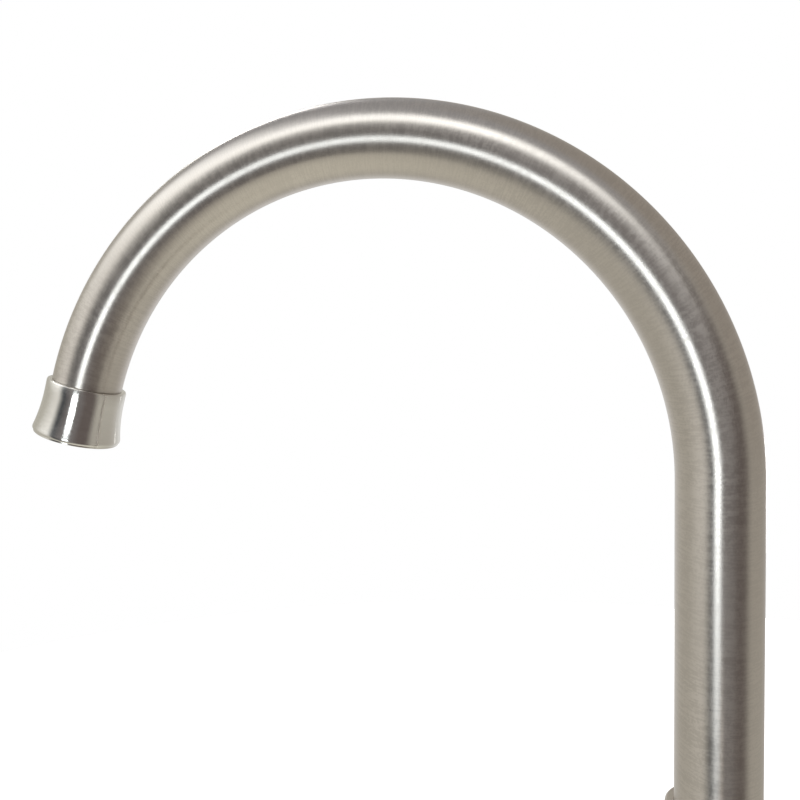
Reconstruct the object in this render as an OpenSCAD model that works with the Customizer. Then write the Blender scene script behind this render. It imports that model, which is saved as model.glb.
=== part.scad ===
// Gooseneck bar faucet: a single-hole mixer with a side lever and a swivelling bent-tube spout.
// Sizes are in millimetres. The origin is the centre of the base where it rests on the deck.
// +Z is up, the spout reaches towards -Y and the lever stands on the +X side.

/* [Spout tube] */
// Outside diameter of the bent tube
tube_d = 19; // [17:0.5:21]
// Wall thickness of the tube
tube_wall = 1.2; // [0.8:0.1:1.6]
// Radius of the bend at the centreline of the tube
bend_r = 84; // [60:1:110]
// Angle that the bend turns through, from the leg to the outlet
bend_angle = 163.5; // [150:0.5:178]
// Straight leg, from the foot of the collar to the start of the bend
leg_len = 90.5; // [60:0.5:160]

/* [Spout collar and hub] */
// Height of the flared collar at the foot of the leg
collar_h = 15; // [10:0.5:22]
// Amount that the collar flares out from its top to its foot, on the radius
collar_flare = 2.6; // [0.5:0.1:4]
// Diameter of the hub's journal inside the body
hub_d = 20; // [18:0.5:21]
// Length of the hub below its flange
hub_len = 26; // [24:0.5:30]
// Thickness of the hub's flange, which the tube stands on
hub_flange_t = 2.5; // [1.5:0.1:4]
// Length of the hub's plug, which is brazed into the tube
hub_plug_len = 10; // [6:0.5:14]
// Diameter of the water way through the hub
hub_bore = 12; // [8:0.5:13]
// Section of the two O-rings on the hub
o_ring_cord = 1.8; // [1.4:0.1:2.2]
// Thickness of the glide ring between the body and the spout
glide_t = 1.5; // [1:0.1:3]

/* [Aerator] */
// Length of the flared aerator ring
ring_h = 15.4; // [11:0.1:18]
// Amount that the ring stands out from the tube at its top, on the radius
ring_step = 1.3; // [0.8:0.1:2.5]
// Length of the ring's straight top, before it starts to flare
ring_land = 3.5; // [1:0.1:6]
// Amount that the ring flares out from its top to its outlet, on the radius
ring_flare = 1.2; // [0.2:0.05:3]
// Rounding of the ring's outlet edge
ring_edge = 1.2; // [0.3:0.1:1.4]
// Rings of holes in the flow straightener around its middle hole
jet_rings = 3; // [1:1:3]
// Diameter of each hole in the flow straightener
jet_d = 1.5; // [0.8:0.1:1.6]

/* [Body] */
// Height of the body above the deck
body_h = 96; // [90:1:130]
// Diameter of the body's straight waist
waist_d = 35; // [34:0.5:42]
// Diameter of the body's foot, where it stands on the base ring
foot_d = 41; // [40:0.5:46]
// Radius of the cove between the foot and the waist
foot_cove = 20; // [8:1:30]
// Height at which the body starts to narrow towards its neck
shoulder_z = 70; // [66:1:80]
// Radius of the round shoulder
shoulder_r = 30; // [15:1:60]

/* [Base and deck mounting] */
// Diameter of the base ring on the deck
base_d = 52; // [50:0.5:60]
// Height of the base ring
base_h = 8; // [6:0.5:12]
// Height of the upright lip around the base ring
base_lip = 2.4; // [1:0.1:4]
// Diameter of the threaded shank
shank_d = 30; // [29:0.5:32]
// Wall of the hollow shank
shank_wall = 2.5; // [1.5:0.1:3]
// Length of the shank below the deck surface
shank_drop = 46; // [40:1:80]
// Depth of the shank's thread inside the body
shank_grip = 10; // [6:0.5:14]
// Thickness of the deck that the faucet is shown clamped to
deck_t = 20; // [5:1:24]
// Thickness of the mounting nut
nut_t = 9; // [6:0.5:14]
// Width across the flats of the mounting nut
nut_af = 41; // [38:0.5:46]

/* [Water inlets] */
// Diameter of each threaded inlet hole, at the crest of its thread
inlet_d = 9; // [8:0.1:10]
// Depth of each threaded inlet hole
inlet_depth = 10; // [6:0.5:12]
// Distance from the middle of the body to each inlet
inlet_offset = 6.8; // [6.2:0.1:7.4]

/* [Cartridge] */
// Height of the cartridge's axis above the deck
boss_z = 46; // [44:0.5:48]
// Diameter of the side boss, and of the dome on its end
boss_d = 33; // [32:0.5:34]
// Distance from the body's axis to the floor of the cartridge pocket
pocket_x = 6.5; // [6:0.1:9]
// Diameter of the cartridge's housing
housing_d = 24.8; // [24:0.1:25.2]
// Angle that the lever lifts through, from shut to full flow
lift_angle = 22; // [16:1:24]
// Width of the square stem
stem_w = 7; // [6:0.1:7]

/* [Handle] */
// Length of the lever, from the stem's pivot to its tip
lever_len = 78; // [60:1:100]
// Diameter of the lever where it leaves the hub
lever_root_d = 7.4; // [6:0.1:9]
// Diameter of the lever at its tip
lever_tip_d = 9.4; // [6:0.1:12]
// Lean of the lever away from the body, measured at half lift
lever_lean = 23; // [15:1:30]
// Length of the hub from the pivot to its end
hub_end = 27.5; // [26:0.5:32]
// Diameter of the index button in the hub's end
index_d = 8; // [6:0.5:10]

/* [Hidden] */
$fn = 96;

fit_gap = 0.05;   // radial gap of a brazed, screwed or pressed joint
run_gap = 0.06;   // radial gap of a joint that turns
face_gap = 0.05;  // gap between two flat faces that slide on each other
over = 1;         // how far a cutting tool runs past the face that it cuts

// Spout tube
tube_r = tube_d / 2;
tube_bore_r = tube_r - tube_wall;
collar_z = body_h + glide_t;
tube_z = collar_z + hub_flange_t;
spring_z = collar_z + leg_len;

// Hub and collar
hub_r = hub_d / 2;
hub_flange_r = max(tube_r, hub_r) + 1;
collar_top_r = tube_r + 1.9;
collar_foot_r = max(collar_top_r + collar_flare, hub_flange_r + 1.8);
collar_edge = 0.8;
body_bore_r = hub_r + run_gap;
hub_foot_z = collar_z - hub_len;
body_bore_z = hub_foot_z - 2;
hub_bore_r = min(hub_bore / 2, tube_bore_r - 1.5);
o_ring_squeeze_gap = 0.02;
groove_w = 1.35 * o_ring_cord;
groove_root_r = body_bore_r - o_ring_cord - 2 * o_ring_squeeze_gap;
o_ring_rise = [13.5, 19.5];   // height of each O-ring above the foot of the hub
catch_rise = 6;               // height of the catch groove above the foot of the hub
catch_w = 3.6;
catch_root_r = hub_r - 2;
catch_z = hub_foot_z + catch_rise;
catch_screw_r = 2;
catch_dog_r = 1.4;

// Aerator, along the outlet's axis from the top of its ring
ring_top_r = tube_r + ring_step;
ring_out_r = ring_top_r + ring_flare;
nipple_thread_r = tube_bore_r + 0.1;
nipple_end = 4.6;
nipple_plug = 5;
nipple_taper = 0.25;
nipple_bore_r = tube_bore_r - 1.6;
cavity_r = nipple_thread_r + fit_gap;
washer_t = 1.3;
screen_t = 0.5;
lip_t = 1.1;
lip_r = cavity_r - 0.8;
insert_r = cavity_r - fit_gap;
nose_r = lip_r - fit_gap;
nose_out = 0.45;
insert_top = nipple_end + washer_t + screen_t;
straightener_t = 3;
jet_pitch = nose_r / (jet_rings + 0.55);
screen_hole_r = 0.65;
screen_rings = 3;

// Base and deck mounting
base_r = base_d / 2;
foot_r = foot_d / 2;
waist_r = waist_d / 2;
shank_r = shank_d / 2;
shank_bore_r = shank_r - shank_wall;
spigot_r = shank_r + 3;
spigot_rise = 1;
base_top_r = foot_r + 0.9;
shank_top_z = spigot_rise + shank_grip;
gasket_t = 1.6;
gasket_in_r = spigot_r + 1.6;
gasket_out_r = base_r - 3;
deck_gasket_t = 3;
deck_washer_t = 1.6;
deck_washer_r = base_r - 2;
deck_hole_slack = 0.6;
nut_top_z = -deck_t - deck_gasket_t - deck_washer_t;
nut_flange_t = 2.2;
nut_flange_r = nut_af / 2 / cos(30) + 0.4;

// Body outline
cove_h = sqrt(pow(foot_cove, 2) - pow(foot_cove - (foot_r - waist_r), 2));
foot_lip = 1.6;
neck_r = collar_foot_r;
shoulder_h = sqrt(pow(shoulder_r, 2) - pow(shoulder_r - (waist_r - neck_r), 2));
body_edge = 0.5;

// Cartridge, along its own axis from the floor of the pocket
boss_r = boss_d / 2;
housing_r = housing_d / 2;
pocket_r = housing_r + 0.1;
base_flange_t = 2.4;
base_t = 4.4;
disc_t = 3.2;
slider_t = 2.8;
slider_at = base_t + disc_t + face_gap;
carrier_at = slider_at + slider_t;
carrier_t = 3.8;
turret_at = carrier_at + carrier_t + 0.2;
turret_flange_t = 1.7;
cap_at = turret_at + turret_flange_t + 0.2;
cap_t = 2;
housing_top = cap_at + cap_t;
nut_at = housing_top;
pivot_rise = 5.6;     // pivot of the stem above the shoulder of the housing
pivot_at = nut_at + pivot_rise;
housing_neck_end = pivot_at + 2.5;
turret_end = pivot_at + 3;
pivot_x = pocket_x + pivot_at;

chamber_r = housing_r - 1.8;
turret_flange_r = chamber_r - 0.15;
turret_r = 8;
neck_bore_r = turret_r + run_gap;
housing_neck_r = neck_bore_r + 1.8;
fixed_disc_r = chamber_r - fit_gap;
ball_r = 2.5;
ball_arm = 10.5;
half_lift = lift_angle / 2;
slide_half = ball_arm * sin(half_lift);
slider_r = chamber_r - slide_half - 0.18;
socket_r = ball_r + run_gap;
rail_w = 1.6;         // rails under the turret that turn the disc carrier and let it slide
rail_h = 1.5;
rail_side = 5.2;
rail_gap = 0.1;
port_r = 1.6;
port_up = 3.2;        // inlet ports above the cartridge's axis
port_side = 3.7;      // inlet ports to each side of it
outlet_port_r = 2.2;
outlet_down = 3.2;    // outlet port below it
mix_r = 4.1;          // mixing hollow in the moving disc
mix_down = 1.3;
mix_depth = 1.4;
seal_wall = 1;
seal_t = 1.5;
peg_r = 1.2;
peg_len = 2;
peg_side = 8.4;
peg_down = 3.6;

cap_thread_r = boss_r - 1.6;
boss_end = 17.5;
nut_thread_len = 4.6;
boss_neck_end = nut_at + nut_thread_len;
nut_thread_r = pocket_r + 0.75;
nut_bore_r = housing_neck_r + 0.15;
nut_hex_r = min(nut_thread_r - 0.6, cap_thread_r - 1.2);
nut_hex_h = 3;

dome_r = boss_r;
dome_wall = 1.6;
dome_mouth = 31;      // half angle of the dome's mouth, seen from the pivot
seam = 0.35;          // chamfer on each side of a visible joint

// Stem and handle, along the stem from its pivot
pin_r = 1.25;
pin_half = turret_r - 0.4;
stem_slot_half = 5.6;
stem_neck_r = 2.2;
stem_root = -3;
stem_end = hub_end - 3.5;
hub_gap = 0.6;
cavity_handle_r = dome_r + hub_gap;
hub_rim_at = 9;
hub_rim_r = 17.4;
hub_nose_r = 13.6;
hub_edge = 2.2;
socket_gap = 0.06;
lever_from = 14;
root_flare_r = 7.2;
root_flare_len = 24;
tip_bulge = 0.3 * lever_tip_d;
tip_round = (pow(lever_tip_d / 2, 2) + pow(tip_bulge, 2)) / (2 * tip_bulge);
screw_r = 2.5;
screw_len = 7;
screw_at = cavity_handle_r + 3.6;
index_depth = 1.2;

// ---- shared outlines and placings ----

// Puts things at the outlet end of the bend, with +Z running out of the spout.
module at_outlet() {
    translate([0, bend_r * (cos(bend_angle) - 1), spring_z + bend_r * sin(bend_angle)])
        rotate([bend_angle, 0, 0]) children();
}

// Lays things along the cartridge's axis: local +Z runs away from the body and local +X points up.
module at_cartridge() {
    translate([pocket_x, 0, boss_z]) rotate([0, 90, 0]) rotate([0, 0, 180]) children();
}

// Puts things on the stem, in its shut position, with the origin at the pivot.
module on_stem() {
    at_cartridge() translate([0, 0, pivot_at]) rotate([0, half_lift, 0]) children();
}

module ring_section(r_in, r_out, z0, z1) {
    translate([r_in, z0]) square([r_out - r_in, z1 - z0]);
}

module tube_ring(r_in, r_out, z0, z1) {
    rotate_extrude() ring_section(r_in, r_out, z0, z1);
}

// Half outline of a bell: radius r_small at height 0 and r_big at height h, where its edge is rounded.
module bell_outline(r_small, r_big, h, edge) {
    slope = atan((r_big - r_small) / h);
    edge_x = r_big - edge * (1 + sin(slope)) / cos(slope);
    edge_z = h - edge;
    polygon([
        [0, 0], [r_small - seam, 0], [r_small + seam * tan(slope), seam],
        [edge_x + edge * cos(slope), edge_z - edge * sin(slope)],
        [edge_x, edge_z], [edge_x, h], [0, h]
    ]);
    translate([edge_x, edge_z]) circle(edge);
}

// Half outline of a trumpet: radius r_small up to height land, then a hollow curve out to r_big,
// which it reaches where its rounded edge at height h starts.
module trumpet_outline(r_small, r_big, h, land, edge) {
    flare = r_big - r_small;
    reach = h - land - edge;
    curve = (pow(reach, 2) + pow(flare, 2)) / (2 * flare) - edge;
    edge_x = r_big - edge;
    edge_z = h - edge;
    meet = edge / (curve + edge);
    difference() {
        polygon([
            [0, 0], [r_small - seam, 0], [r_small, seam], [r_small, land],
            [edge_x + meet * (curve + edge - flare), edge_z - meet * reach],
            [edge_x, edge_z], [edge_x, h], [0, h]
        ]);
        translate([r_small + curve, land]) circle(curve);
    }
    translate([edge_x, edge_z]) circle(edge);
}

// Round holes on rings about the middle, six more on each ring than on the one inside it.
module hole_field(rings, pitch, r, z0, z1) {
    translate([0, 0, z0]) cylinder(r = r, h = z1 - z0);
    for (k = [1:rings], i = [0:6 * k - 1])
        rotate(i * 60 / k) translate([k * pitch, 0, z0]) cylinder(r = r, h = z1 - z0);
}

module hexagon(af, h) {
    cylinder(r = af / 2 / cos(30), h = h, $fn = 6);
}

// ---- spout ----

module spout_tube() color("silver") {
    tube_ring(tube_bore_r, tube_r, tube_z, spring_z);
    translate([0, -bend_r, spring_z]) rotate([90, 0, 90]) rotate_extrude(angle = bend_angle)
        translate([bend_r, 0]) difference() {
            circle(tube_r);
            circle(tube_bore_r);
        }
}

module spout_collar() color("silver") {
    translate([0, 0, collar_z]) rotate_extrude() difference() {
        translate([0, collar_h]) mirror([0, 1])
            bell_outline(collar_top_r, collar_foot_r, collar_h, collar_edge);
        ring_section(0, tube_r + fit_gap, -over, collar_h + over);
        ring_section(0, hub_flange_r + fit_gap, -over, hub_flange_t);
    }
}

module spout_hub() color("goldenrod") {
    rotate_extrude() difference() {
        union() {
            ring_section(0, hub_r, hub_foot_z, collar_z);
            ring_section(0, hub_flange_r, collar_z, tube_z);
            ring_section(0, tube_bore_r - fit_gap, tube_z, tube_z + hub_plug_len);
        }
        ring_section(0, hub_bore_r, hub_foot_z - over, tube_z + hub_plug_len + over);
        for (rise = o_ring_rise)
            ring_section(groove_root_r, hub_r + over,
                hub_foot_z + rise - groove_w / 2, hub_foot_z + rise + groove_w / 2);
        ring_section(catch_root_r, hub_r + over, catch_z - catch_w / 2, catch_z + catch_w / 2);
    }
}

module hub_o_rings() color("black") {
    for (rise = o_ring_rise)
        translate([0, 0, hub_foot_z + rise]) rotate_extrude()
            translate([groove_root_r + o_ring_squeeze_gap + o_ring_cord / 2, 0])
                circle(o_ring_cord / 2);
}

module glide_ring() color("white") {
    tube_ring(hub_r + 0.3, collar_foot_r - 0.6, body_h, collar_z - face_gap);
}

// ---- aerator ----

module outlet_nipple() color("goldenrod") {
    plug_r = tube_bore_r - fit_gap;
    at_outlet() rotate_extrude() polygon([
        [nipple_bore_r, -nipple_plug], [plug_r - nipple_taper, -nipple_plug],
        [plug_r, fit_gap], [nipple_thread_r, fit_gap],
        [nipple_thread_r, nipple_end], [nipple_bore_r, nipple_end]
    ]);
}

module aerator_ring() color("gainsboro") {
    at_outlet() rotate_extrude() difference() {
        trumpet_outline(ring_top_r, ring_out_r, ring_h, ring_land, ring_edge);
        ring_section(0, ring_out_r, -over, fit_gap);
        ring_section(0, cavity_r, -over, ring_h - lip_t);
        ring_section(0, lip_r, -over, ring_h + over);
    }
}

module aerator_washer() color("black") {
    at_outlet() tube_ring(nipple_bore_r, insert_r, nipple_end, nipple_end + washer_t);
}

module aerator_screen() color("silver") {
    at_outlet() difference() {
        tube_ring(0, insert_r, insert_top - screen_t, insert_top);
        hole_field(screen_rings, nipple_bore_r / (screen_rings + 0.8), screen_hole_r,
            insert_top - screen_t - over, insert_top + over);
    }
}

module flow_straightener() color("lightgray") {
    at_outlet() difference() {
        union() {
            tube_ring(0, insert_r, insert_top, ring_h - lip_t);
            tube_ring(0, nose_r, ring_h - lip_t, ring_h + nose_out);
        }
        tube_ring(0, insert_r - 1.2, insert_top - over, ring_h + nose_out - straightener_t);
        hole_field(jet_rings, jet_pitch, jet_d / 2,
            ring_h - straightener_t - over, ring_h + nose_out + over);
    }
}

// ---- body ----

module body_outline() {
    ring_section(0, spigot_r, spigot_rise, base_h);
    translate([0, base_h]) difference() {
        square([foot_r, foot_lip + cove_h]);
        translate([waist_r + foot_cove, foot_lip + cove_h]) circle(foot_cove);
    }
    ring_section(0, waist_r, base_h + foot_lip + cove_h, shoulder_z);
    intersection() {
        ring_section(0, waist_r, shoulder_z, shoulder_z + shoulder_h);
        translate([waist_r - shoulder_r, shoulder_z]) circle(shoulder_r);
    }
    ring_section(0, neck_r, shoulder_z + shoulder_h, body_h - body_edge);
    ring_section(0, neck_r - body_edge, body_h - body_edge, body_h);
    translate([neck_r - body_edge, body_h - body_edge]) circle(body_edge);
}

// The cast outside: the turned column and the side boss with its threaded neck.
module body_casting() {
    rotate_extrude() body_outline();
    at_cartridge() rotate_extrude() polygon([
        [0, -pocket_x], [boss_r, -pocket_x], [boss_r, boss_end - seam], [boss_r - seam, boss_end],
        [cap_thread_r, boss_end], [cap_thread_r, boss_neck_end], [0, boss_neck_end]
    ]);
}

// The drilled water ways: two feeds up to the cartridge, and one way out to the spout.
module water_ways() {
    feed_r = 2.75;
    feed_top = boss_z + port_up + 2;
    riser_x = -7;
    riser_r = 2.8;
    for (side = [-1, 1]) translate([0, side * inlet_offset, 0]) {
        translate([0, 0, shank_top_z - over])
            cylinder(d = inlet_d, h = inlet_depth + over);
        translate([0, 0, shank_top_z + inlet_depth - over])
            cylinder(r = feed_r, h = feed_top - shank_top_z - inlet_depth + over);
    }
    at_cartridge() {
        for (side = [-1, 1]) translate([port_up, side * port_side, -pocket_x])
            cylinder(r = port_r, h = pocket_x + over);
        translate([-outlet_down, 0, riser_x - pocket_x])
            cylinder(r = outlet_port_r, h = pocket_x - riser_x + over);
    }
    translate([riser_x, 0, boss_z - outlet_down])
        cylinder(r = riser_r, h = body_bore_z - boss_z + outlet_down + over);
}

module body() color("silver") {
    difference() {
        body_casting();
        tube_ring(0, shank_r + fit_gap, spigot_rise - over, shank_top_z);
        tube_ring(0, body_bore_r, body_bore_z, body_h + over);
        water_ways();
        at_cartridge() {
            tube_ring(0, pocket_r, 0, boss_neck_end + over);
            tube_ring(0, nut_thread_r + fit_gap, nut_at, boss_neck_end + over);
            for (side = [-1, 1]) translate([-peg_down, side * peg_side, -peg_len - 0.2])
                cylinder(r = peg_r + fit_gap, h = peg_len + over);
        }
        translate([0, 0, catch_z]) rotate([-90, 0, 0])
            cylinder(r = catch_screw_r + fit_gap, h = waist_r + over);
    }
}

module hub_retaining_screw() color("dimgray") {
    screw_tail = waist_r - 3.2;
    screw_seat = body_bore_r + 0.4;
    translate([0, 0, catch_z]) rotate([-90, 0, 0]) difference() {
        union() {
            translate([0, 0, screw_seat]) cylinder(r = catch_screw_r, h = screw_tail - screw_seat);
            translate([0, 0, catch_root_r + 0.4])
                cylinder(r = catch_dog_r, h = screw_seat - catch_root_r);
        }
        translate([0, 0, screw_tail - 1.8]) hexagon(2, 1.8 + over);
    }
}

// ---- base and deck mounting ----

module base_ring() color("silver") {
    cove_r = base_h - base_lip;
    rotate_extrude() difference() {
        union() {
            ring_section(0, base_top_r, 0, base_h);
            ring_section(0, base_r - seam, 0, base_lip);
            ring_section(0, base_r, seam, base_lip - seam);
            translate([base_r - seam, seam]) circle(seam);
            translate([base_r - seam, base_lip - seam]) circle(seam);
            difference() {
                ring_section(0, base_top_r + cove_r, base_lip, base_h);
                translate([base_top_r + cove_r, base_h]) circle(cove_r);
                ring_section(base_r - 1.2, base_r + cove_r, base_lip, base_h);
            }
        }
        ring_section(0, spigot_r + fit_gap, -over, base_h + over);
        ring_section(gasket_in_r, gasket_out_r, -over, gasket_t);
    }
}

module base_gasket() color("black") {
    tube_ring(gasket_in_r + fit_gap, gasket_out_r - fit_gap, 0, gasket_t);
}

module mounting_shank() color("goldenrod") {
    rotate_extrude() polygon([
        [shank_bore_r, shank_top_z], [shank_r, shank_top_z], [shank_r, 1 - shank_drop],
        [shank_r - 1, -shank_drop], [shank_bore_r, -shank_drop]
    ]);
}

module deck_gasket() color("black") {
    tube_ring(shank_r + deck_hole_slack, deck_washer_r, -deck_t - deck_gasket_t, -deck_t);
}

module deck_washer() color("silver") {
    tube_ring(shank_r + deck_hole_slack, deck_washer_r, nut_top_z, nut_top_z + deck_washer_t);
}

module mounting_nut() color("goldenrod") {
    difference() {
        union() {
            translate([0, 0, nut_top_z - nut_flange_t]) cylinder(r = nut_flange_r, h = nut_flange_t);
            intersection() {
                translate([0, 0, nut_top_z - nut_t]) hexagon(nut_af, nut_t - 1);
                translate([0, 0, nut_top_z - nut_t]) cylinder(r1 = nut_af / 2 + 0.6, r2 = nut_af, h = nut_t);
            }
        }
        tube_ring(0, shank_r + fit_gap, nut_top_z - nut_t - over, nut_top_z + over);
    }
}

// ---- cartridge ----

module cartridge_housing() color("white") {
    at_cartridge() rotate_extrude() difference() {
        union() {
            ring_section(0, housing_r, base_flange_t, housing_top);
            ring_section(0, housing_neck_r, housing_top, housing_neck_end);
        }
        ring_section(0, chamber_r, -over, cap_at);
        ring_section(0, neck_bore_r, -over, housing_neck_end + over);
    }
}

module cartridge_base() color("white") {
    at_cartridge() difference() {
        union() {
            tube_ring(0, housing_r, 0, base_flange_t);
            tube_ring(0, chamber_r - fit_gap, base_flange_t, base_t);
            for (side = [-1, 1]) translate([-peg_down, side * peg_side, -peg_len])
                cylinder(r = peg_r, h = peg_len + over);
        }
        for (side = [-1, 1]) translate([port_up, side * port_side, -over]) {
            cylinder(r = port_r, h = base_t + 2 * over);
            cylinder(r = port_r + seal_wall + fit_gap, h = seal_t + over);
        }
        translate([-outlet_down, 0, -over]) {
            cylinder(r = outlet_port_r, h = base_t + 2 * over);
            cylinder(r = outlet_port_r + seal_wall + fit_gap, h = seal_t + over);
        }
    }
}

module port_seals() color("black") {
    at_cartridge() {
        for (side = [-1, 1]) translate([port_up, side * port_side, 0])
            tube_ring(port_r, port_r + seal_wall, 0, seal_t);
        translate([-outlet_down, 0, 0])
            tube_ring(outlet_port_r, outlet_port_r + seal_wall, 0, seal_t);
    }
}

module fixed_disc() color("ivory") {
    at_cartridge() difference() {
        tube_ring(0, fixed_disc_r, base_t, base_t + disc_t);
        for (side = [-1, 1]) translate([port_up, side * port_side, base_t - over])
            cylinder(r = port_r, h = disc_t + 2 * over);
        translate([-outlet_down, 0, base_t - over])
            cylinder(r = outlet_port_r, h = disc_t + 2 * over);
    }
}

module moving_disc() color("ivory") {
    at_cartridge() translate([-slide_half, 0, slider_at]) difference() {
        cylinder(r = slider_r, h = slider_t);
        translate([-mix_down, 0, -over]) cylinder(r = mix_r, h = mix_depth + over);
    }
}

module disc_carrier() color("white") {
    at_cartridge() translate([-slide_half, 0, carrier_at]) difference() {
        cylinder(r = slider_r, h = carrier_t);
        translate([0, 0, -over]) cylinder(r = socket_r, h = carrier_t + 2 * over);
        for (side = [-1, 1]) translate([0, side * rail_side, carrier_t])
            cube([2 * slider_r, rail_w + 2 * rail_gap, 2 * rail_h], center = true);
    }
}

module turret() color("lightgray") {
    at_cartridge() difference() {
        union() {
            tube_ring(0, turret_flange_r, turret_at, turret_at + turret_flange_t);
            tube_ring(0, turret_r, turret_at + turret_flange_t, turret_end);
            for (side = [-1, 1]) translate([0, side * rail_side, turret_at - rail_h / 2 + rail_gap])
                cube([2 * turret_r, rail_w, rail_h], center = true);
        }
        translate([-stem_slot_half, -stem_w / 2 - 0.15, turret_at - over])
            cube([2 * stem_slot_half, stem_w + 0.3, turret_end - turret_at + 2 * over]);
        translate([0, 0, pivot_at]) rotate([90, 0, 0])
            cylinder(r = pin_r + fit_gap, h = 2 * turret_r + 2 * over, center = true);
    }
}

module pivot_pin() color("dimgray") {
    at_cartridge() translate([0, 0, pivot_at]) rotate([90, 0, 0])
        cylinder(r = pin_r, h = 2 * pin_half, center = true);
}

module cartridge_nut() color("goldenrod") {
    at_cartridge() difference() {
        union() {
            tube_ring(0, nut_thread_r, nut_at, boss_neck_end);
            translate([0, 0, boss_neck_end]) cylinder(r = nut_hex_r, h = nut_hex_h, $fn = 6);
        }
        tube_ring(0, nut_bore_r, nut_at - over, boss_neck_end + nut_hex_h + over);
    }
}

module dome_cap() color("silver") {
    at_cartridge() difference() {
        union() {
            tube_ring(0, dome_r - seam, boss_end, boss_end + seam);
            tube_ring(0, dome_r, boss_end + seam, pivot_at);
            translate([0, 0, pivot_at]) sphere(dome_r);
        }
        tube_ring(0, dome_r + over, -dome_r, boss_end);
        tube_ring(0, cap_thread_r + fit_gap, boss_end - over, pivot_at);
        translate([0, 0, pivot_at]) sphere(dome_r - dome_wall);
        translate([0, 0, pivot_at])
            cylinder(r1 = 0, r2 = 2 * dome_r * tan(dome_mouth), h = 2 * dome_r);
    }
}

// ---- stem and handle ----

module stem() color("goldenrod") {
    on_stem() difference() {
        union() {
            translate([-stem_w / 2, -stem_w / 2, stem_root])
                cube([stem_w, stem_w, stem_end - stem_root]);
            translate([0, 0, -ball_arm]) cylinder(r = stem_neck_r, h = ball_arm + stem_root + over);
            translate([0, 0, -ball_arm]) sphere(ball_r);
        }
        rotate([90, 0, 0]) cylinder(r = pin_r + run_gap, h = stem_w + 2 * over, center = true);
    }
}

module hub_outline() {
    translate([0, hub_end]) mirror([0, 1])
        bell_outline(hub_nose_r, hub_rim_r, hub_end - hub_rim_at, 1);
}

module lever() {
    translate([0, 0, lever_from]) rotate([0, 90 - lever_lean, 0]) {
        cylinder(d1 = lever_root_d, d2 = lever_tip_d, h = lever_len);
        cylinder(r1 = root_flare_r, r2 = lever_root_d / 2, h = root_flare_len);
        translate([0, 0, lever_len]) intersection() {
            cylinder(d = lever_tip_d, h = tip_bulge);
            translate([0, 0, tip_bulge - tip_round]) sphere(tip_round);
        }
    }
}

module handle() color("silver") {
    on_stem() difference() {
        union() {
            rotate_extrude() hub_outline();
            lever();
        }
        sphere(cavity_handle_r);
        translate([-stem_w / 2 - socket_gap, -stem_w / 2 - socket_gap, 0])
            cube([stem_w + 2 * socket_gap, stem_w + 2 * socket_gap, stem_end + 0.3]);
        translate([0, 0, hub_end - index_depth]) cylinder(d = index_d, h = index_depth + over);
        translate([0, 0, screw_at]) rotate([0, -90, 0])
            cylinder(r = screw_r + fit_gap, h = hub_rim_r + over);
    }
}

module handle_screw() color("dimgray") {
    screw_from = stem_w / 2 + 0.1;
    on_stem() translate([0, 0, screw_at]) rotate([0, -90, 0]) difference() {
        translate([0, 0, screw_from]) cylinder(r = screw_r, h = screw_len);
        translate([0, 0, screw_from + screw_len - 2.2]) hexagon(2.5, 2.2 + over);
    }
}

module index_button() color("steelblue") {
    on_stem() translate([0, 0, hub_end - index_depth])
        cylinder(d = index_d - 2 * fit_gap, h = index_depth + 0.3);
}

spout_tube();
spout_collar();
spout_hub();
hub_o_rings();
glide_ring();
outlet_nipple();
aerator_ring();
aerator_washer();
aerator_screen();
flow_straightener();
body();
hub_retaining_screw();
base_ring();
base_gasket();
mounting_shank();
deck_gasket();
deck_washer();
mounting_nut();
cartridge_housing();
cartridge_base();
port_seals();
fixed_disc();
moving_disc();
disc_carrier();
turret();
pivot_pin();
cartridge_nut();
dome_cap();
stem();
handle();
handle_screw();
index_button();
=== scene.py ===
"""Looks of a gooseneck bar faucet: finishes, cut threads, floor, lamps and camera.

Metres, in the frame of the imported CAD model: +Z up, the spout reaches towards -Y
and the lever stands on the +X side.
"""

import math

import bpy
from mathutils import Matrix, Vector


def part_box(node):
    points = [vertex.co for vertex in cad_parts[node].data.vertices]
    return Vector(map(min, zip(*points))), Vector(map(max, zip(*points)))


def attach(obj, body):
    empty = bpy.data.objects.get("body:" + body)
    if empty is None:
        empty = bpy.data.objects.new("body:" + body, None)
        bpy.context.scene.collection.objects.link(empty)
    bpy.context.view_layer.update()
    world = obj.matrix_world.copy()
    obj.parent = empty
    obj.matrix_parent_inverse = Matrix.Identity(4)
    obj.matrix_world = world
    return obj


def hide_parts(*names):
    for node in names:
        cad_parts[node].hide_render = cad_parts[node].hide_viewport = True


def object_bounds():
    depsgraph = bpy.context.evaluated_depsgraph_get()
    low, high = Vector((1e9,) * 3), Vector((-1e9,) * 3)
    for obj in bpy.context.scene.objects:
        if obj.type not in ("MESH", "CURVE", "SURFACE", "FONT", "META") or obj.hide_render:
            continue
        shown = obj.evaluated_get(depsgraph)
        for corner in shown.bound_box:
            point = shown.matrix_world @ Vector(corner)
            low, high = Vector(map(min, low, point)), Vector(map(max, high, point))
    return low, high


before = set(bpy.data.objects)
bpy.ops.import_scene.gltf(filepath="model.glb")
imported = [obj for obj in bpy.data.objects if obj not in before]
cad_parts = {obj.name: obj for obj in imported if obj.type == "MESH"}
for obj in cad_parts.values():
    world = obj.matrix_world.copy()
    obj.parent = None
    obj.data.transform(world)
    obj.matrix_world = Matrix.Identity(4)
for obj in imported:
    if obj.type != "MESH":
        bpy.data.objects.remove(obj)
cad_low, cad_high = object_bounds()

MM = 0.001
CENTRE = Vector((0, 0, 0))
X_AXIS = Vector((1, 0, 0))
Y_AXIS = Vector((0, 1, 0))
Z_AXIS = Vector((0, 0, 1))


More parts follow.
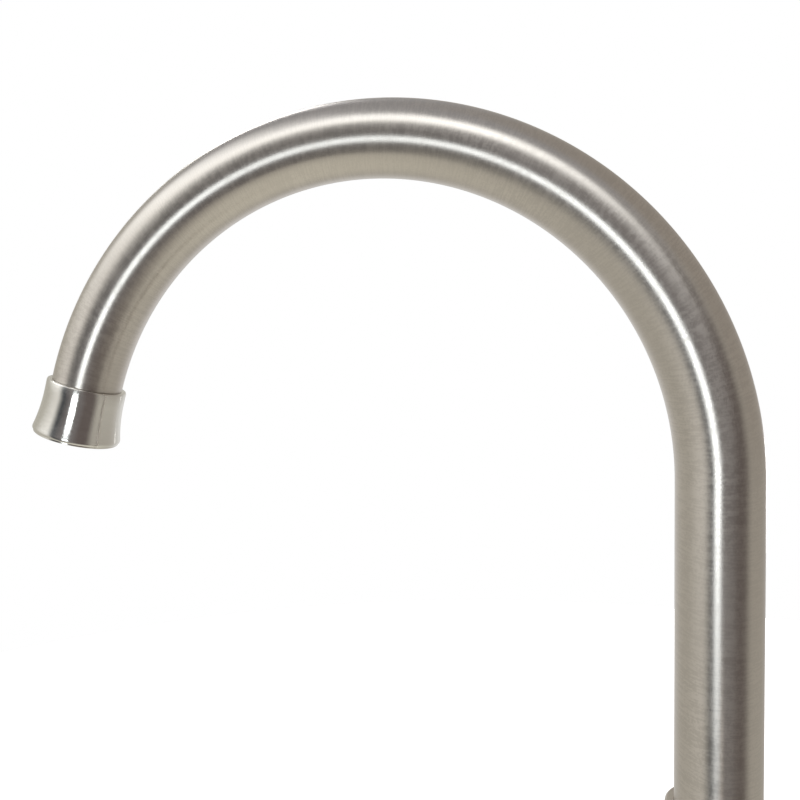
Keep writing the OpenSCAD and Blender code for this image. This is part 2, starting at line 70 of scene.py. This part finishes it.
def mm(x, y, z):
    """A point given in millimetres."""
    return Vector((x, y, z)) * MM


# ---- Sizes, from the frame where it has them ----
tube_low, tube_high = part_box("spout_tube")
tube_radius = tube_high.x
tube_wall = 1.2 * MM
bend_radius = 84 * MM
bend_angle = math.radians(163.5)
spring_z = tube_high.z - tube_radius - bend_radius     # where the leg ends and the bend starts
outlet = Vector((0, bend_radius * (math.cos(bend_angle) - 1),
                 spring_z + bend_radius * math.sin(bend_angle)))
outlet_axis = Vector((0, -math.sin(bend_angle), math.cos(bend_angle)))

ring_top_radius = 10.8 * MM
ring_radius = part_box("aerator_ring")[1].x
ring_height = 15.4 * MM
ring_land = 3.5 * MM                                   # its straight top, before it flares
ring_edge = 1.2 * MM
ring_step, ring_slant = 0.36 * MM, 0.17 * MM           # height and width of its bright step
ring_rim_height, ring_rim_inset = 0.46 * MM, 0.4 * MM  # of the narrow upright rim at its foot
ring_lip = 1.1 * MM
ring_bore = 8.45 * MM
ring_lip_bore = 7.65 * MM
joint_gap = 0.05 * MM
tube_edge = 0.08 * MM                                  # bevels at the tube's two ends

shank_low, shank_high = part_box("mounting_shank")
shank_radius = shank_high.x
shank_bore = 12.5 * MM
thread_pitch = 1.5 * MM
thread_depth = 0.85 * MM

boss_z = sum(corner.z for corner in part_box("dome_cap")) / 2
pivot = Vector((30.45 * MM, 0, boss_z))
stem_tilt = math.radians(11)                           # of the stem at rest, above level
lever_tilt = math.radians(78)                          # of the lever at rest, above level
stem_axis = Vector((math.cos(stem_tilt), 0, math.sin(stem_tilt)))
lever_axis = Vector((math.cos(lever_tilt), 0, math.sin(lever_tilt)))
lever_root_along, hub_end_along = 14 * MM, 27.5 * MM   # along the stem from its pivot
lever_root = pivot + lever_root_along * stem_axis
hub_end = pivot + hub_end_along * stem_axis

# ---- The photograph's camera ----
camera_at = mm(197.3, -26.1, 215.8)
camera_yaw = math.radians(16.49)       # turned from -X towards -Y
camera_pitch = math.radians(-3.16)
camera_roll = math.radians(-1.08)
focal_px = 809.3
frame_px = 800
shift_px = (40, 10)
sensor = 36                            # any width does, as the lens follows it
near_clip = 5 * MM

# ---- Colours of the metals and plastics ----
NICKEL = (0.62, 0.58, 0.54)
BRIGHT_NICKEL = (0.77, 0.75, 0.715)
BRASS = (0.72, 0.56, 0.31)
STEEL = (0.56, 0.56, 0.56)
RUBBER = (0.035, 0.035, 0.037)
WHITE_PLASTIC = (0.80, 0.80, 0.77)
GREY_PLASTIC = (0.36, 0.38, 0.40)
CERAMIC = (0.86, 0.84, 0.79)
HOT, COLD, RIM = (0.55, 0.03, 0.02), (0.02, 0.08, 0.42), (0.62, 0.62, 0.62)


# ---- Node trees ----
class Tree:
    """Adds nodes to a tree. An input given as a socket is linked, and any other is a value."""

    def __init__(self, owner):
        owner.use_nodes = True
        self.tree = owner.node_tree
        self.tree.nodes.clear()

    def node(self, kind, inputs=None, **settings):
        made = self.tree.nodes.new("ShaderNode" + kind)
        for name, value in settings.items():
            setattr(made, name, value)
        for key, value in (inputs or {}).items():
            self.feed(made.inputs[key], value)
        return made

    def feed(self, socket, value):
        if isinstance(value, bpy.types.NodeSocket):
            self.tree.links.new(value, socket)
        else:
            socket.default_value = value

    def math(self, operation, *values):
        return self.node("Math", dict(enumerate(values)), operation=operation).outputs[0]

    def vector(self, operation, *values):
        made = self.node("VectorMath", dict(enumerate(values)), operation=operation)
        return made.outputs["Value" if operation in ("DOT_PRODUCT", "LENGTH") else "Vector"]

    def stretch(self, value, factor):
        """A vector times a number."""
        return self.node("VectorMath", {0: value, "Scale": factor}, operation="SCALE").outputs[0]

    def join(self, x=0.0, y=0.0, z=0.0):
        return self.node("CombineXYZ", {0: x, 1: y, 2: z}).outputs[0]

    def split(self, value):
        return self.node("SeparateXYZ", {0: value}).outputs

    def mix(self, factor, a, b):
        """Colour a where factor is 0, and b where it is 1."""
        made = self.node("Mix", {"Factor": factor}, data_type="RGBA")
        self.feed(made.inputs[6], a)
        self.feed(made.inputs[7], b)
        return made.outputs[2]

    def mix_vector(self, factor, a, b):
        made = self.node("Mix", {"Factor": factor}, data_type="VECTOR")
        self.feed(made.inputs[4], a)
        self.feed(made.inputs[5], b)
        return made.outputs[1]

    def ease(self, value, start, end, low=0.0, high=1.0):
        """Goes smoothly from low to high as value goes from start to end."""
        return self.node("MapRange", {0: value, 1: start, 2: end, 3: low, 4: high},
                         interpolation_type="SMOOTHSTEP").outputs[0]

    def noise(self, at, scale=1.0, detail=2.0, roughness=0.5):
        return self.node("TexNoise", {"Vector": at, "Scale": scale, "Detail": detail,
                                      "Roughness": roughness}).outputs[0]

    def bump(self, height, distance, under=None):
        """A surface raised by height times distance, on top of another surface if one is given."""
        made = self.node("Bump", {"Height": height, "Strength": 1.0, "Distance": distance})
        if under is not None:
            self.feed(made.inputs["Normal"], under)
        return made.outputs[0]

    def place(self):
        """Where a point is in the row frame at rest, and which way its surface faces."""
        found = self.node("TexCoord").outputs
        return found["Object"], found["Normal"]

    def end(self, shader, kind="OutputMaterial"):
        self.tree.links.new(shader, self.node(kind).inputs["Surface"])


def tint(colour, level=1.0):
    return (*[channel * level for channel in colour], 1)


def grey(level):
    return tint((level, level, level))


# ---- Brush lines ----
LINES = 1 / (0.42 * MM)      # brush lines a metre, across the lines
RUN = 1 / (2.4 * MM)         # how soon a line changes along itself
BROAD = 0.2                  # lines a metre of the broader ones, as a share of LINES
SPECKS = 1 / (0.5 * MM)      # specks a metre between the lines
CLOUDS = 55.0                # patches a metre of slightly other colour and roughness
SWAYS = 45.0                 # waves a metre in a surface that isn't quite even
GRAIN = (0.4, 0.6)           # the part of the grain's noise that shows


def bent(t, at, normal):
    """Lines round the bent tube: what they vary with, and the way that the tube runs."""
    x, y, z = t.split(at)
    above = t.math("SUBTRACT", z, spring_z)
    rise = t.math("MAXIMUM", above, 0.0)
    reach = t.math("ADD", y, bend_radius)
    along = t.math("ADD", t.math("MULTIPLY", t.math("ARCTAN2", rise, reach), bend_radius),
                   t.math("MINIMUM", above, 0.0))
    lines = t.vector("ADD", t.join(t.math("MULTIPLY", along, LINES)), t.stretch(at, RUN))
    return lines, t.join(0.0, t.math("MULTIPLY", rise, -1.0), reach)


def turned(point, axis):
    """Lines round an axis, on a turned piece."""
    def field(t, at, normal):
        arm = t.vector("SUBTRACT", at, point)
        around = t.vector("CROSS_PRODUCT", axis, arm)
        lines = t.vector("ADD", t.stretch(at, RUN), t.join(
            t.math("MULTIPLY", t.vector("DOT_PRODUCT", arm, axis), LINES),
            t.math("MULTIPLY", t.vector("LENGTH", around), LINES)))
        return lines, t.vector("CROSS_PRODUCT", normal, around)
    return field


upright = turned(CENTRE, Z_AXIS)
sideways = turned(pivot, X_AXIS)
at_spout_end = turned(outlet, outlet_axis)
on_stem = turned(pivot, stem_axis)
on_lever = turned(lever_root, lever_axis)


def either(choose, first, second):
    """One field of lines where choose gives 0, and another where it gives 1."""
    def field(t, at, normal):
        factor = choose(t, at)
        pairs = zip(first(t, at, normal), second(t, at, normal))
        return [t.mix_vector(factor, a, b) for a, b in pairs]
    return field


# Where one set of lines fades into the other, from the first value to the second
column_side = (17.6 * MM, 18.8 * MM)                   # off the body's axis
boss_foot = (boss_z - 20 * MM, boss_z - 17 * MM)       # above the deck
boss_start = (2 * MM, 6 * MM)                          # along +X
lever_start = (13 * MM, 19 * MM)                       # along the lever from its root


def on_boss(t, at):
    """1 on the body's side boss, and 0 on its column."""
    x, y, z = t.split(at)
    off = t.vector("LENGTH", t.join(x, y))
    beyond = t.ease(off, *column_side)
    above_foot = t.ease(z, *boss_foot)
    return t.math("MULTIPLY", t.math("MULTIPLY", beyond, above_foot), t.ease(x, *boss_start))


def past_hub(t, at):
    """1 on the lever, and 0 on the handle's hub."""
    arm = t.vector("SUBTRACT", at, lever_root)
    return t.ease(t.vector("DOT_PRODUCT", arm, lever_axis), *lever_start)


# ---- Materials ----
def metal(name, field, colour, roughness, anisotropy, line_depth, contrast=0.05, sway=0.0):
    """Machined or brushed metal, whose highlights spread across its fine lines.

    Its lines are line_depth deep, and contrast is how much lighter and darker they make the
    colour. With sway the surface also waves a little, by that height.
    """
    material = bpy.data.materials.new(name)
    t = Tree(material)
    at, normal = t.place()
    lines, direction = field(t, at, normal)
    fine = t.noise(lines, roughness=0.4)
    broad = t.noise(t.stretch(lines, BROAD))
    speck = t.noise(at, scale=SPECKS, detail=1.0)
    cloud = t.noise(at, scale=CLOUDS, detail=3.0)
    shade = t.math("ADD", t.math("MULTIPLY", fine, 0.7), t.math("MULTIPLY", broad, 0.3))
    dots = t.math("MULTIPLY_ADD", t.math("SUBTRACT", speck, 0.5), 0.5, shade)
    base = t.mix(t.ease(dots, *GRAIN), tint(colour, 1 - contrast), tint(colour, 1 + contrast))
    base = t.mix(t.ease(cloud, 0.35, 0.65, 0.0, 0.4), base, tint(colour, 0.97))
    rough = t.math("ADD", t.ease(dots, *GRAIN, -0.1 * roughness, 0.1 * roughness),
                   t.ease(cloud, 0.3, 0.7, 0.97 * roughness, 1.03 * roughness))
    tangent = t.node("VectorTransform", {0: direction}, vector_type="VECTOR",
                     convert_from="OBJECT", convert_to="WORLD").outputs[0]
    surface = t.bump(shade, line_depth)
    if sway:
        surface = t.bump(t.noise(at, scale=SWAYS, detail=1.0), sway, surface)
    shader = t.node("BsdfPrincipled", {
        "Base Color": base, "Metallic": 1.0, "Roughness": rough, "Anisotropic": anisotropy,
        "Normal": surface, "Tangent": tangent})
    t.end(shader.outputs[0])
    return material


def moulded(name, colour, roughness, grain, depth, contrast=0.04, sheen=0.0):
    """Plastic, rubber or ceramic with the fine grain of its mould and a little mottling.

    Grain is the size of the grain and depth its height.
    """
    material = bpy.data.materials.new(name)
    t = Tree(material)
    at, _ = t.place()
    fine = t.noise(at, scale=1 / grain, detail=3.0)
    cloud = t.noise(at, scale=90.0, detail=3.0)
    base = t.mix(t.ease(cloud, 0.3, 0.7), tint(colour, 1 - contrast), tint(colour, 1 + contrast))
    base = t.mix(t.ease(fine, 0.3, 0.7, 0.0, 0.5), base, tint(colour, 1 - contrast))
    rough = t.ease(fine, 0.3, 0.7, 0.9 * roughness, 1.1 * roughness)
    shader = t.node("BsdfPrincipled", {
        "Base Color": base, "Roughness": rough, "Normal": t.bump(fine, depth),
        "Sheen Weight": sheen})
    t.end(shader.outputs[0])
    return material


def enamel(name):
    """The index button: a red half and a blue half inside a pale rim."""
    seam, line_half, rim_from, blend = 0.05 * MM, 0.18 * MM, 3.1 * MM, 0.1 * MM
    material = bpy.data.materials.new(name)
    t = Tree(material)
    at, _ = t.place()
    arm = t.vector("SUBTRACT", at, hub_end)
    y = t.split(arm)["Y"]
    off = t.vector("LENGTH", t.vector("CROSS_PRODUCT", stem_axis, arm))
    halves = t.mix(t.ease(y, -seam, seam), tint(HOT), tint(COLD))
    line = t.ease(t.math("ABSOLUTE", y), line_half + blend, line_half)
    rim = t.ease(off, rim_from, rim_from + blend)
    plain = t.math("MAXIMUM", line, rim)
    cloud = t.noise(at, scale=900.0, detail=2.0)
    base = t.mix(plain, halves, tint(RIM))
    base = t.mix(t.ease(cloud, 0.3, 0.7, 0.0, 0.12), base, grey(0.5))
    shader = t.node("BsdfPrincipled", {
        "Base Color": base, "Roughness": t.ease(cloud, 0.3, 0.7, 0.16, 0.22),
        "Coat Weight": 0.6, "Coat Roughness": 0.08,
        "Normal": t.bump(t.math("SUBTRACT", t.math("MULTIPLY", cloud, 0.1), plain), 0.05 * MM)})
    t.end(shader.outputs[0])
    return material


def wear(material, *names):
    """Gives CAD pieces a material."""
    for name in names:
        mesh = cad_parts[name].data
        mesh.materials.clear()
        mesh.materials.append(material)


# ---- Meshes ----
ROUND = 192                  # points round a turned piece
LEG_STEPS, BEND_STEPS = 8, 240
SHARP = math.radians(32)     # corners over this stay sharp


def loops_mesh(name, loops, material, body, node):
    """A closed mesh through rings of points, each joined to the next and the last to the first."""
    count, rings = len(loops[0]), len(loops)
    mesh = bpy.data.meshes.new(name)
    mesh.from_pydata(
        [point for loop in loops for point in loop], [],
        [(i * count + j, i * count + (j + 1) % count,
          (i + 1) % rings * count + (j + 1) % count, (i + 1) % rings * count + j)
         for i in range(rings) for j in range(count)])
    mesh.shade_smooth()
    mesh.set_sharp_from_angle(angle=SHARP)
    mesh.materials.append(material)
    piece = bpy.data.objects.new(name, mesh)
    bpy.context.scene.collection.objects.link(piece)
    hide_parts(node)
    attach(piece, body)


def arc(x, y, radius, start, end, steps):
    """Points on an arc, from start to end in degrees."""
    angles = [math.radians(start + (end - start) * i / steps) for i in range(steps + 1)]
    return [(x + radius * math.cos(a), y + radius * math.sin(a)) for a in angles]


def turned_loops(outline, origin=CENTRE, axis=Z_AXIS):
    """Rings round an axis for a closed outline of (radius, height) points."""
    side = axis.cross(X_AXIS if abs(axis.x) < 0.9 else Y_AXIS).normalized()
    other = axis.cross(side)
    turns = [2 * math.pi * j / ROUND for j in range(ROUND)]
    return [[origin + axis * height + radius * (side * math.cos(a) + other * math.sin(a))
             for a in turns] for radius, height in outline]


def tube_loops():
    """The leg and the bend, out along the outside and back along the bore."""
    leg = [(tube_low.z - spring_z) * (1 - i / LEG_STEPS) for i in range(LEG_STEPS)]
    bend = [bend_radius * bend_angle * i / BEND_STEPS for i in range(BEND_STEPS + 1)]
    path = leg + bend

    def ring(along, radius):
        if along <= 0:
            middle, out = Vector((0, 0, spring_z + along)), Y_AXIS
        else:
            a = along / bend_radius
            out = Vector((0, math.cos(a), math.sin(a)))
            middle = Vector((0, -bend_radius, spring_z)) + bend_radius * out
        turns = [2 * math.pi * j / ROUND for j in range(ROUND)]
        return [middle + radius * (out * math.cos(a) + X_AXIS * math.sin(a)) for a in turns]

    bore = tube_radius - tube_wall
    return ([ring(path[0], bore + tube_edge), ring(path[0], tube_radius - tube_edge)]
            + [ring(along, tube_radius) for along in [path[0] + tube_edge] + path[1:-1]]
            + [ring(path[-1] - tube_edge, tube_radius), ring(path[-1], tube_radius - tube_edge),
               ring(path[-1], bore + tube_edge)]
            + [ring(along, bore) for along in reversed(path[1:-1:3])])


def ring_loops():
    """The aerator ring: a straight top with a bright step, then a hollow flare and a rim."""
    flare, reach = ring_radius - ring_top_radius, ring_height - ring_land - ring_edge
    curve = (reach ** 2 + flare ** 2) / (2 * flare) - ring_edge      # radius of the hollow flare
    steep = math.degrees(math.asin(reach / (curve + ring_edge)))
    step_radius = ring_top_radius - ring_slant
    step_top = joint_gap + 0.05 * MM
    outline = [(ring_bore, joint_gap), (step_radius - 0.1 * MM, joint_gap),
               (step_radius, step_top), (ring_top_radius, step_top + ring_step)]
    outline += arc(ring_top_radius + curve, ring_land, curve, 180, 180 - steep, 24)
    rim, rim_bevel, lip_bevel = ring_radius - ring_rim_inset, 0.12 * MM, 0.15 * MM
    outline += arc(ring_radius - ring_edge, ring_height - ring_edge, ring_edge, -steep, 20, 8)[1:]
    outline += [(rim, ring_height - ring_rim_height), (rim, ring_height - rim_bevel),
                (rim - rim_bevel, ring_height)]
    outline += [(ring_lip_bore + lip_bevel, ring_height),
                (ring_lip_bore, ring_height - lip_bevel),
                (ring_lip_bore, ring_height - ring_lip), (ring_bore, ring_height - ring_lip)]
    return turned_loops(outline, outlet, outlet_axis)


def shank_loops():
    """The shank with its thread cut from the deck down."""
    chamfer, thread_top = 1 * MM, -1 * MM
    rows_a_turn, count = 8, 120
    steps = int((thread_top - shank_low.z) / thread_pitch * rows_a_turn)
    heights = [shank_low.z + (thread_top - shank_low.z) * i / steps for i in range(steps + 1)]

    def outside(height, turn):
        groove = abs((height / thread_pitch - turn) % 1 - 0.5) * 2       # 0 in the root
        cut = thread_depth * min(1, max(0, 1.2 - 1.4 * groove))          # flat root and crest
        run_out = min(1, (thread_top - height) / thread_pitch)
        end = shank_radius - max(0, chamfer - (height - shank_low.z))
        return min(shank_radius - cut * run_out, end)

    def ring(height, radius_at):
        return [Vector((radius_at(j / count) * math.cos(2 * math.pi * j / count),
                        radius_at(j / count) * math.sin(2 * math.pi * j / count), height))
                for j in range(count)]

    loops = [ring(h, lambda turn, h=h: outside(h, turn)) for h in heights]
    loops += [ring(shank_high.z, lambda turn: shank_radius),
              ring(shank_high.z, lambda turn: shank_bore),
              ring(shank_low.z, lambda turn: shank_bore)]
    return loops


# Colour, roughness, anisotropy and depth of the lines
SATIN = (NICKEL, 0.31, 0.8, 0.004 * MM)
CUT_BRASS = (BRASS, 0.3, 0.6, 0.006 * MM)

tube_metal = metal("nickel_tube", bent, NICKEL, 0.335, 0.81, 0.004 * MM, 0.06, 0.07 * MM)
upright_metal = metal("nickel_upright", upright, *SATIN)
ring_metal = metal("nickel_polished", at_spout_end, BRIGHT_NICKEL, 0.179, 0.9, 0.0005 * MM, 0.02)
wear(tube_metal, "spout_tube")
wear(upright_metal, "spout_collar", "base_ring")
wear(metal("nickel_body", either(on_boss, upright, sideways), *SATIN), "body")
wear(metal("nickel_dome", sideways, *SATIN), "dome_cap")
wear(metal("nickel_handle", either(past_hub, on_stem, on_lever), *SATIN), "handle")
wear(ring_metal, "aerator_ring")
brass_upright = metal("brass_upright", upright, *CUT_BRASS)
wear(brass_upright, "spout_hub", "mounting_shank", "mounting_nut")
wear(metal("brass_outlet", at_spout_end, *CUT_BRASS), "outlet_nipple")
wear(metal("brass_cartridge", sideways, *CUT_BRASS), "cartridge_nut")
wear(metal("brass_stem", on_stem, *CUT_BRASS), "stem")
wear(metal("steel_upright", upright, STEEL, 0.3, 0.6, 0.005 * MM), "deck_washer")
wear(metal("steel_outlet", at_spout_end, STEEL, 0.3, 0.3, 0.003 * MM), "aerator_screen")
wear(metal("steel_cartridge", turned(pivot, Y_AXIS), STEEL, 0.25, 0.5, 0.003 * MM), "pivot_pin")
wear(metal("steel_screws", sideways, STEEL, 0.32, 0.4, 0.004 * MM),
     "handle_screw", "hub_retaining_screw")
wear(moulded("rubber", RUBBER, 0.55, 0.3 * MM, 0.01 * MM, 0.12, 0.1),
     "hub_o_rings", "aerator_washer", "base_gasket", "deck_gasket", "port_seals")
wear(moulded("white_plastic", WHITE_PLASTIC, 0.42, 0.25 * MM, 0.006 * MM),
     "glide_ring", "cartridge_housing", "cartridge_base", "disc_carrier")
wear(moulded("grey_plastic", GREY_PLASTIC, 0.4, 0.25 * MM, 0.006 * MM),
     "flow_straightener", "turret")
wear(moulded("ceramic", CERAMIC, 0.2, 0.12 * MM, 0.001 * MM, 0.02), "fixed_disc", "moving_disc")
wear(enamel("index_enamel"), "index_button")

loops_mesh("spout_tube_skin", tube_loops(), tube_metal, "spout", "spout_tube")
loops_mesh("aerator_ring_skin", ring_loops(), ring_metal, "spout", "aerator_ring")
loops_mesh("mounting_shank_thread", shank_loops(), brass_upright, "base", "mounting_shank")

# ---- The room that the metal reflects ----
# Each patch: colour, level, its azimuths and elevations in degrees, and how soft it is at its
# first azimuth, at its second one, and at its top and bottom.
# Azimuth 0 is on the camera's side (+X) and 90 is +Y. A later patch covers an earlier one.
WALL = (0.537, 0.519, 0.462)
ROOM = (
    ((0.97, 0.97, 1.0), 0.429, (-181, 181), (38, 110), (1, 1, 2)),      # ceiling
    ((1.0, 0.92, 0.82), 0.384, (75, 170), (-10, 80), (13, 13, 30)),     # wall on the right
    ((1.0, 1.0, 1.0), 0.885, (163, 210), (-33, 5), (40, 40, 22)),       # white backdrop
    ((1.0, 0.97, 0.84), 0.764, (-181, 181), (-110, -54), (1, 1, 18)),   # floor
    ((1.0, 0.98, 0.93), 0.860, (-67, -26), (-10, 35), (25, 25, 1)),     # pale screen, left
    ((0.1, 0.5, 1.0), 0.025, (-36, 20), (-50, 33), (12, 5, 1)),         # dark side
    ((1.0, 0.92, 0.91), 0.185, (-19, 50), (-50, 33), (17, 5, 1)),       # its paler half
    ((1.0, 0.84, 0.79), 0.139, (32, 70), (-50, 33), (8, 13, 1)),        # and its warm end
    ((1.0, 1.03, 1.03), 4.13, (-96, -25), (39.7, 39.9), (21, 21, 30)),  # wide soft light, left
    ((1.0, 1.03, 1.03), 2.96, (-13, 37), (37, 57), (11, 11, 5)),        # light over the camera
)


def make_room():
    """White to the camera, and a studio of soft patches to everything else."""
    world = bpy.data.worlds.new("studio")
    bpy.context.scene.world = world
    t = Tree(world)
    x, y, z = t.split(t.node("TexCoord").outputs["Generated"])
    azimuth = t.math("MULTIPLY", t.math("ARCTAN2", y, x), 180 / math.pi)
    elevation = t.math("MULTIPLY", t.math("ARCSINE", z), 180 / math.pi)

    def within(value, limits, first_soft, second_soft):
        """1 between two limits in degrees, and 0 outside, softly at each of them."""
        middle, half = sum(limits) / 2, (limits[1] - limits[0]) / 2
        off = t.math("WRAP", t.math("SUBTRACT", value, middle), 180.0, -180.0)
        soft = t.math("MULTIPLY_ADD", t.math("GREATER_THAN", off, 0.0),
                      second_soft - first_soft, first_soft)
        return t.ease(t.math("ABSOLUTE", off), t.math("ADD", soft, half),
                      t.math("SUBTRACT", half, soft))

    look = tint(WALL)
    for colour, strength, azimuths, elevations, (first_soft, second_soft, soft_up) in ROOM:
        inside = t.math("MULTIPLY", within(azimuth, azimuths, first_soft, second_soft),
                        within(elevation, elevations, soft_up, soft_up))
        look = t.mix(inside, look, tint(colour, strength))
    rays = t.node("LightPath").outputs
    plain = t.math("MAXIMUM", rays["Is Camera Ray"], rays["Is Transmission Ray"])
    t.end(t.node("Background", {"Color": t.mix(plain, look, grey(1)),
                                "Strength": 1.0}).outputs[0], "OutputWorld")


def put_lamp(data, at, aim, mirrored=True):
    """Places and aims a lamp. One that isn't mirrored lights only what is matt."""
    made = bpy.data.objects.new(data.name, data)
    made.location = at
    made.rotation_mode = "QUATERNION"
    made.rotation_quaternion = (aim - at).to_track_quat("-Z", "Y")
    made.visible_camera = False
    made.visible_glossy = mirrored
    bpy.context.scene.collection.objects.link(made)


def lamp(name, at, aim, size, power, colour=(1, 1, 1), mirrored=True):
    """A round soft lamp, of a size in metres and a power in watts."""
    data = bpy.data.lights.new(name, "AREA")
    data.shape, data.size, data.energy, data.color = "DISK", size, power, colour
    put_lamp(data, at, aim, mirrored)


def spot(name, at, aim, radius, power, cone, blend):
    """A soft lamp whose light stays within a cone in degrees, faded over a share of it."""
    data = bpy.data.lights.new(name, "SPOT")
    data.shadow_soft_size, data.energy = radius, power
    data.spot_size, data.spot_blend = math.radians(cone), blend
    put_lamp(data, at, aim)


def make_camera():
    """The photograph's camera."""
    forward = Vector((-math.cos(camera_yaw) * math.cos(camera_pitch),
                      -math.sin(camera_yaw) * math.cos(camera_pitch), math.sin(camera_pitch)))
    level_right = forward.cross(Z_AXIS).normalized()
    level_up = level_right.cross(forward)
    right = level_right * math.cos(camera_roll) + level_up * math.sin(camera_roll)
    up = right.cross(forward)
    data = bpy.data.cameras.new("camera")
    data.sensor_width = sensor
    data.lens = sensor * focal_px / frame_px
    data.shift_x, data.shift_y = [offset / frame_px for offset in shift_px]
    data.clip_start = near_clip
    made = bpy.data.objects.new("camera", data)
    made.matrix_world = Matrix.Translation(camera_at) @ Matrix(
        (right, up, -forward)).transposed().to_4x4()
    bpy.context.scene.collection.objects.link(made)
    bpy.context.scene.camera = made


def make_floor():
    """A round pale floor that keeps the object's shadow and is white to the camera elsewhere."""
    radius, count = 0.7, 96
    glow_low, glow_from, glow_to = 0.27, 0.2 * radius, 0.9 * radius
    turns = [2 * math.pi * i / count for i in range(count)]
    mesh = bpy.data.meshes.new("floor")
    mesh.from_pydata([(radius * math.cos(a), radius * math.sin(a), cad_low.z) for a in turns],
                     [], [range(count)])
    floor = bpy.data.objects.new("floor", mesh)
    bpy.context.scene.collection.objects.link(floor)
    material = bpy.data.materials.new("floor")
    t = Tree(material)
    at, _ = t.place()
    grain = t.ease(t.noise(at, scale=220.0), 0.3, 0.7, 0.78, 0.80)
    matt = t.node("BsdfDiffuse", {"Color": t.join(grain, grain, grain)}).outputs[0]
    x, y, z = t.split(at)
    off = t.vector("LENGTH", t.join(x, y))
    rays = t.node("LightPath").outputs
    glow = t.math("MULTIPLY", rays["Is Camera Ray"],
                  t.ease(off, glow_from, glow_to, glow_low, 1.0))
    bright = t.node("Emission", {"Color": grey(1), "Strength": glow}).outputs[0]
    t.end(t.node("AddShader", {0: matt, 1: bright}).outputs[0])
    mesh.materials.append(material)
    floor.visible_glossy = False        # the room already has a pale floor for the metal


make_room()
make_floor()
make_camera()
lamp("key", at=mm(530, -108, 137), aim=mm(0, -70, 200), size=0.162, power=0.43,
     colour=(1, 1.09, 1.13))
lamp("back_high", at=mm(-560, -480, 760), aim=mm(0, -80, 200), size=0.26, power=0.75)
spot("back_low", at=mm(-600, 170, 60), aim=mm(0, 10, 70), radius=0.09, power=3.6, cone=24,
     blend=0.6)
lamp("overhead", at=mm(260, -420, 1150), aim=mm(0, -40, 0), size=0.24, power=7.0,
     mirrored=False)

bpy.context.scene.view_settings.view_transform = "Standard"
